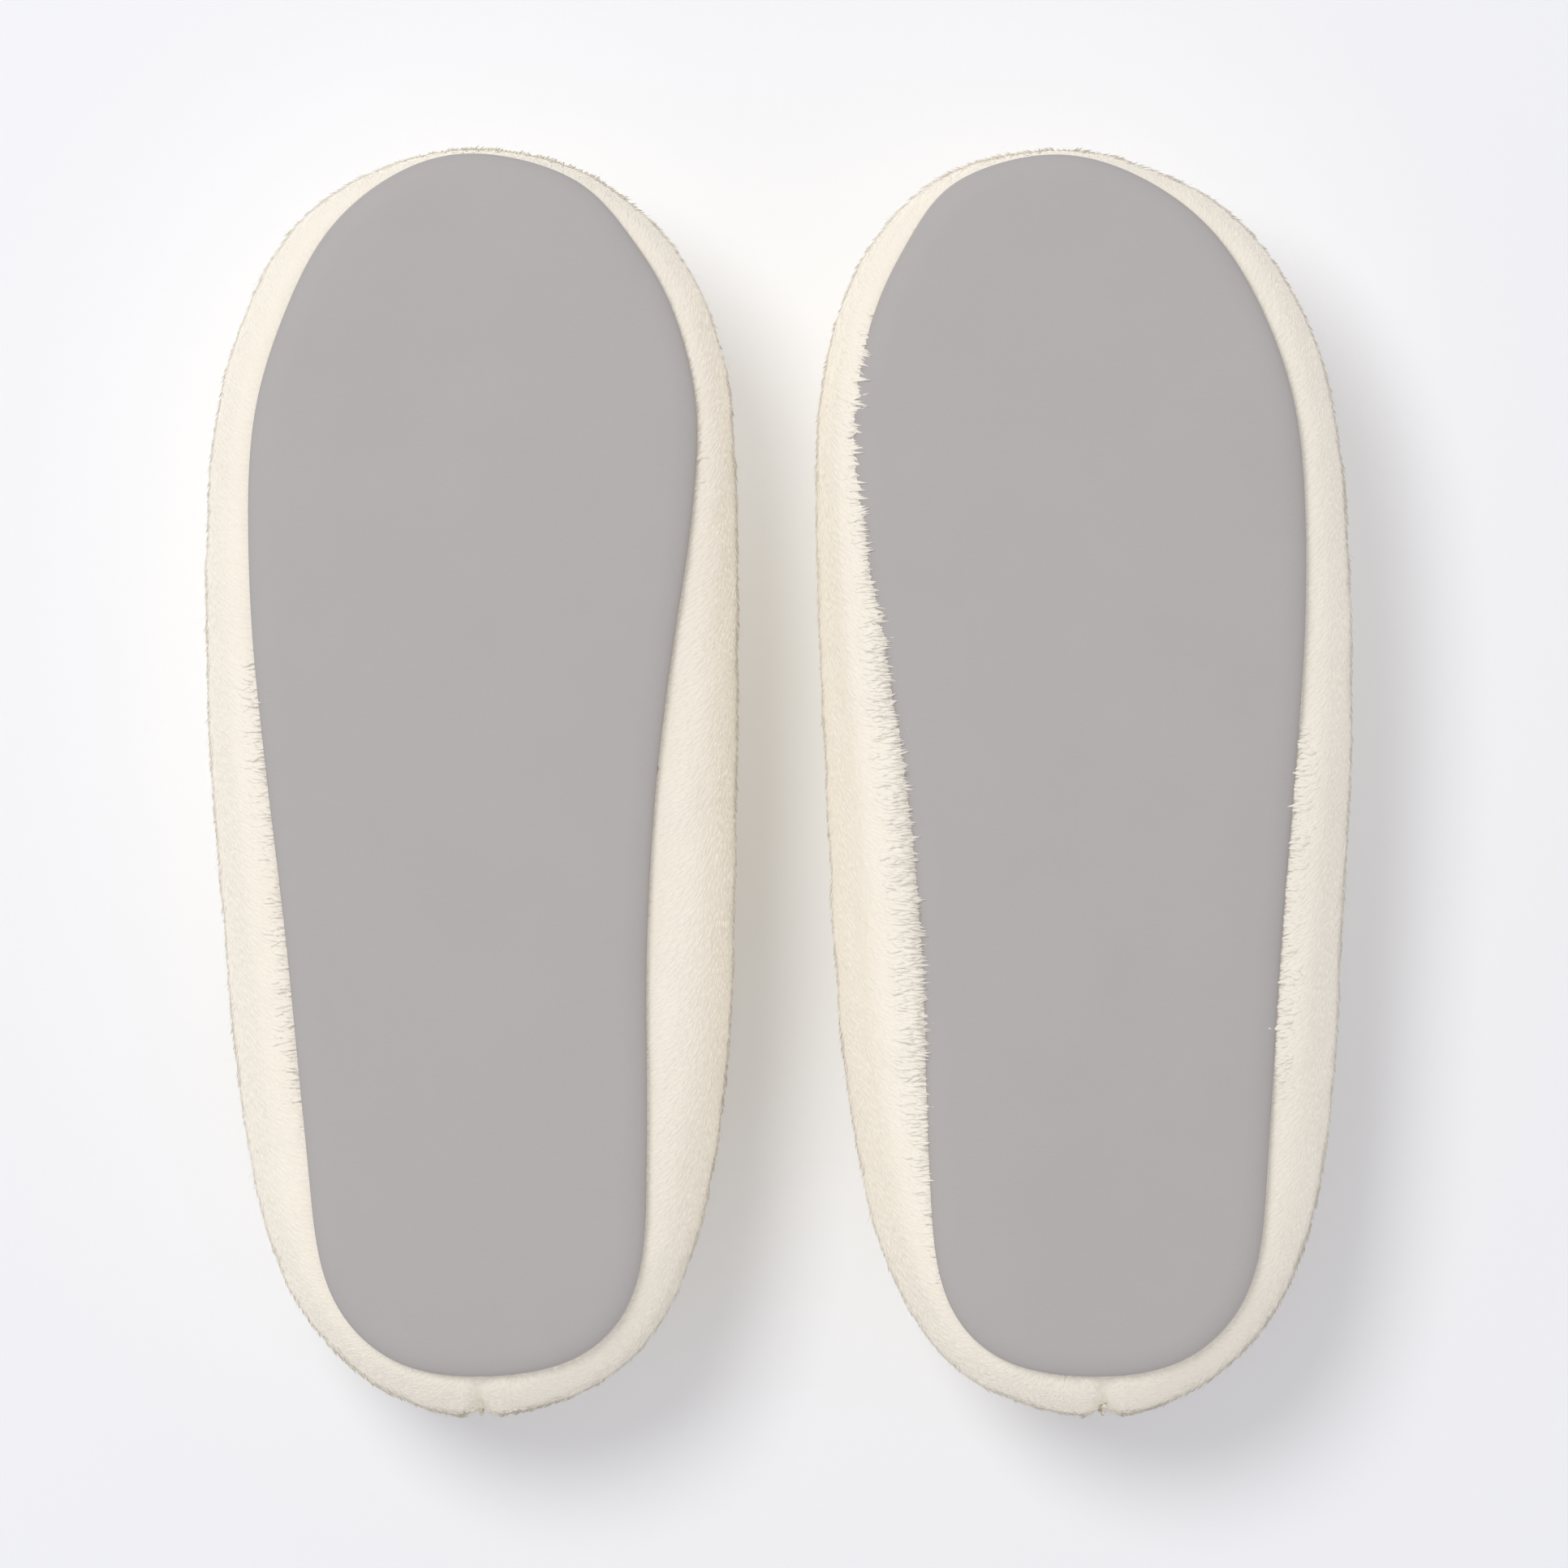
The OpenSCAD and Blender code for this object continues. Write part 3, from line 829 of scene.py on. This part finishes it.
def makeLining(side, facts):
    look = liningShape
    lining = nodeCopy(side + "_upper_lining", side + "_lining_fleece")
    remesh(lining, look["voxel"])
    mesh = lining.data
    normals = [vertex.normal.copy() for vertex in mesh.vertices]
    for vertex, normal in zip(mesh.vertices, normals):
        inner = ease(*look["inner"], -normal.dot(fromSpine(facts, vertex.co)))
        lump = noise.noise(vertex.co * 420) + 0.6 * noise.noise(vertex.co * 160)
        vertex.co += normal * (lump * look["lump"] * inner)
    mesh.update()
    finishPiece(lining, side, [fleece])
    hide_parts(side + "_upper_lining")
    print(side, "lining", len(mesh.polygons), "faces")


footbedShape = {
    "voxel": 1.3 * mm, "pressure": 5.0, "cap": 1.2 * mm, "heldBelow": 0.4 * mm,
    "top": (0.2, 0.7), "drawnIn": 0.2 * mm, "lump": 0.5 * mm, "lift": 0.45,
}
footbedTufts = {
    "pattern": tuftPattern, "perSquareMm": 0.8, "width": 0.46 * mm, "flatness": 0.5,
    "length": 2.4 * mm, "mess": 0.2, "clump": 0.5, "softness": 0.8,
}


def makeFootbed(side):
    look = footbedShape
    pad = nodeCopy(side + "_footbed_cover", side + "_footbed_pad")
    low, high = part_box(side + "_footbed_cover")
    remesh(pad, look["voxel"])
    relax(pad, 2)
    puff(pad, look["pressure"], look["cap"], lambda place: place.z < low.z + look["heldBelow"])
    mesh = pad.data
    normals = [vertex.normal.copy() for vertex in mesh.vertices]
    notes = {"comb": [], "long": [], "thick": []}
    for vertex, normal in zip(mesh.vertices, normals):
        place = vertex.co.copy()
        top = ease(*look["top"], normal.z)
        lump = noise.noise(place * 70) * 0.6 + noise.noise(place * 240) * 0.4
        vertex.co = place + normal * (top * (lump * look["lump"] - look["drawnIn"]))
        nap = Vector((0.5 * noise.noise(place * 40), 1, 0))
        notes["comb"].append(layFlat(nap, normal, look["lift"]))
        notes["long"].append(1 + 0.3 * noise.noise(place * 150))
        notes["thick"].append(top)
    notePoints(mesh, notes)
    finishPiece(pad, side, [plushBacking])
    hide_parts(side + "_footbed_cover")
    pile = growPile(pad, side + "_pile_footbed", footbedTufts, "thick", 19)
    finishPiece(pile, side, [plushTips])
    print(side, "footbed", len(mesh.polygons), "pile", len(pile.data.polygons), "faces")


foamLayers = {    # how far each lies in under its cover, and how far its lower edge is lifted
    "midsole": {"voxel": 1.6 * mm, "drawnIn": 0.0, "lifted": 0.0},
    "footbed_foam": {"voxel": 1.6 * mm, "drawnIn": 0.1 * mm, "lifted": 0.0},
    "upper_foam": {"voxel": 1.3 * mm, "drawnIn": 0.45 * mm, "lifted": 1.8 * mm},
}
foamEdge = (12 * mm, 5 * mm)    # heights where the lift starts and is full


def makeFoams(side):
    for node, look in foamLayers.items():
        layer = nodeCopy(f"{side}_{node}", f"{side}_{node}_soft")
        remesh(layer, look["voxel"])
        relax(layer, 1)
        normals = [vertex.normal.copy() for vertex in layer.data.vertices]
        for vertex, normal in zip(layer.data.vertices, normals):
            vertex.co -= normal * look["drawnIn"]
            vertex.co.z += look["lifted"] * ease(*foamEdge, vertex.co.z)
        finishPiece(layer, side, [foam])
        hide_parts(f"{side}_{node}")


soleShape = {
    "wall": 1.0 * mm, "rollWidth": 6.0 * mm, "rollDepth": 2.6 * mm, "rollSteps": 9,
    "crown": [(5.0 * mm, 0.3 * mm), (7.0 * mm, 0.1 * mm)], "strip": 9 * mm,
    "outlineCuts": 3, "outlineRounds": 10,
}
levelGap = 0.01 * mm    # heights nearer than this are level
cutGap = 0.001 * mm     # points nearer than this to a cut lie on it


def topOutline(bm, topZ, look):
    # keeps the sole's top as one face with a smooth outline, turned to look down
    below = [vertex for vertex in bm.verts if vertex.co.z < topZ - levelGap]
    bmesh.ops.delete(bm, geom=below, context="VERTS")
    bmesh.ops.dissolve_faces(bm, faces=bm.faces[:])
    bmesh.ops.subdivide_edges(bm, edges=bm.edges[:], cuts=look["outlineCuts"])
    for _ in range(look["outlineRounds"]):
        bmesh.ops.smooth_vert(bm, verts=bm.verts, factor=0.5,
                              use_axis_x=True, use_axis_y=True, use_axis_z=False)
    face = bm.faces[:][0]
    if face.normal.z > 0:
        bmesh.ops.reverse_faces(bm, faces=[face])
    return face


def rollEdge(bm, face, look):
    # takes the face down the wall, round the rolled edge and over the slightly crowned sole
    made = bmesh.ops.extrude_face_region(bm, geom=[face])["geom"]
    face = next(part for part in made if isinstance(part, bmesh.types.BMFace))
    bmesh.ops.translate(bm, verts=face.verts[:], vec=(0, 0, -look["wall"]))
    turn = math.pi / 2 / look["rollSteps"]
    steps = [(look["rollWidth"] * (math.cos(turn * k) - math.cos(turn * (k + 1))),
              look["rollDepth"] * (math.sin(turn * (k + 1)) - math.sin(turn * k)))
             for k in range(look["rollSteps"])]
    for inset, drop in steps + look["crown"]:
        bmesh.ops.inset_region(bm, faces=[face], thickness=inset, depth=0,
                               use_even_offset=True, use_boundary=True)
        bmesh.ops.translate(bm, verts=face.verts[:], vec=(0, 0, -drop))
    return face


def cutToStrips(bm, face, low, high, strip):
    # no face of the flat middle is left with hundreds of corners
    flat = [face]
    cuts = [((0, low.y + strip * k, 0), (0, 1, 0))
            for k in range(1, int((high.y - low.y) / strip) + 1)]
    cuts.append((((low.x + high.x) / 2, 0, 0), (1, 0, 0)))
    for point, way in cuts:
        geometry = set(flat)
        for part in flat:
            geometry.update(part.verts)
            geometry.update(part.edges)
        bmesh.ops.bisect_plane(bm, geom=list(geometry), dist=cutGap,
                               plane_co=point, plane_no=way)
        flat = [part for part in bm.faces
                if part.normal.z < -0.999 and part.calc_center_median().z < cutGap]


def makeSole(side):
    look = soleShape
    low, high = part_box(side + "_outsole")
    piece = nodeCopy(side + "_outsole", side + "_sole_rubber")
    bm = bmesh.new()
    bm.from_mesh(piece.data)
    face = rollEdge(bm, topOutline(bm, high.z, look), look)
    cutToStrips(bm, face, low, high, look["strip"])
    bmesh.ops.holes_fill(bm, edges=[edge for edge in bm.edges if edge.is_boundary], sides=0)
    bmesh.ops.recalc_face_normals(bm, faces=bm.faces[:])
    bm.to_mesh(piece.data)
    bm.free()
    finishPiece(piece, side, [soleRubber])
    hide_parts(side + "_outsole")
    print(side, "sole", len(piece.data.polygons), "faces")


keptNodes = {
    "insole_board": fibreBoard, "heel_counter": fibreBoard, "sole_seam_thread": thread,
    "heel_stitches": thread, "heel_seam_tape": tape, "collar_elastic": elastic,
}

for side in ("right", "left"):
    facts = sideFacts(side)
    makeSole(side)
    makeUpper(side, facts)
    makeCollar(side)
    makeLining(side, facts)
    makeFootbed(side)
    makeFoams(side)
    for node, material in keptNodes.items():
        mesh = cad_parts[f"{side}_{node}"].data
        mesh.materials.clear()
        mesh.materials.append(material)
for pattern in (tuftPattern, hairPattern):
    bpy.data.objects.remove(pattern)
print("slippers made")


stageLook = {
    "backdropZ": 66 * mm, "backdropSize": 0.7, "backdropColour": rgb(0.87, 0.88, 0.90),
    "floorZ": -0.3 * mm, "floorSize": 30.0, "floorColour": rgb(0.92, 0.92, 0.925),
    "airColour": rgb(0.965, 0.955, 1.0), "airStrength": 0.70,
}


def stageMaterial(name, colour):
    # seen from its front only, so neither plane hides the slippers from the other side
    material = bpy.data.materials.new(name)
    material.use_nodes = True
    tree = material.node_tree
    shader = tree.nodes["Principled BSDF"]
    shader.inputs["Base Color"].default_value = colour
    shader.inputs["Roughness"].default_value = 1.0
    shader.inputs["Specular IOR Level"].default_value = 0.0
    clear = newNode(tree, "ShaderNodeBsdfTransparent")
    turned = newNode(tree, "ShaderNodeNewGeometry")
    mix = newNode(tree, "ShaderNodeMixShader")
    wire(tree, turned.outputs["Backfacing"], mix.inputs[0])
    wire(tree, shader.outputs[0], mix.inputs[1])
    wire(tree, clear.outputs[0], mix.inputs[2])
    wire(tree, mix.outputs[0], tree.nodes["Material Output"].inputs["Surface"])
    return material


def stagePlane(name, size, height, facesDown, colour):
    bm = bmesh.new()
    bmesh.ops.create_grid(bm, x_segments=1, y_segments=1, size=size / 2,
                          matrix=Matrix.Translation((0, 0, height)))
    if facesDown:
        bmesh.ops.reverse_faces(bm, faces=bm.faces[:])
    mesh = bpy.data.meshes.new(name)
    bm.to_mesh(mesh)
    bm.free()
    plane = linkPiece(mesh, name)
    mesh.materials.append(stageMaterial(name, colour))
    plane.visible_shadow = False
    plane.visible_diffuse = False
    plane.visible_glossy = False
    plane.visible_transmission = False
    return plane


backdrop = stagePlane("backdrop", stageLook["backdropSize"], stageLook["backdropZ"], True,
                      stageLook["backdropColour"])
backdrop.visible_diffuse = True
stagePlane("floor", stageLook["floorSize"], stageLook["floorZ"], False,
           stageLook["floorColour"])

lampTarget = Vector((0, 0, 30 * mm))
lampLook = {    # place, size, power, colour
    "keyBelow": ((-0.85, -0.85, -2.5), 1.1, 30.0, (1.0, 1.0, 0.985)),
    "keyAbove": ((-0.9, -0.8, 1.6), 0.9, 13.0, (1.0, 0.99, 0.97)),
    "fillAbove": ((1.2, 0.9, 1.3), 1.2, 6.0, (0.97, 0.98, 1.0)),
}
for name, (place, size, power, colour) in lampLook.items():
    light = bpy.data.lights.new(name, "AREA")
    light.shape = "DISK"
    light.size = size
    light.energy = power
    light.color = colour
    lamp = bpy.data.objects.new(name, light)
    lamp.location = place
    aim = lampTarget - Vector(place)
    lamp.rotation_euler = aim.to_track_quat("-Z", "Y").to_euler()
    scene.collection.objects.link(lamp)

world = bpy.data.worlds.new("studio")
scene.world = world
world.use_nodes = True
air = world.node_tree.nodes["Background"]
air.inputs["Color"].default_value = stageLook["airColour"]
air.inputs["Strength"].default_value = stageLook["airStrength"]
scene.view_settings.view_transform = "Standard"

cameraLook = {    # looks up from below, and frameWidth is what it sees at the height frameZ
    "lens": 300.0, "frameWidth": 0.322, "frameZ": 14 * mm, "x": 0.75 * mm, "y": 0.0,
    "farthest": 40.0,
}
lensData = bpy.data.cameras.new("camera")
lensData.lens = cameraLook["lens"]
lensData.clip_end = cameraLook["farthest"]
distance = cameraLook["frameWidth"] / (lensData.sensor_width * mm) * lensData.lens * mm
camera = bpy.data.objects.new("camera", lensData)
camera.location = (cameraLook["x"], cameraLook["y"], cameraLook["frameZ"] - distance)
camera.rotation_euler = (math.pi, 0, 0)
scene.collection.objects.link(camera)
scene.camera = camera
print("stage, lights and camera made")
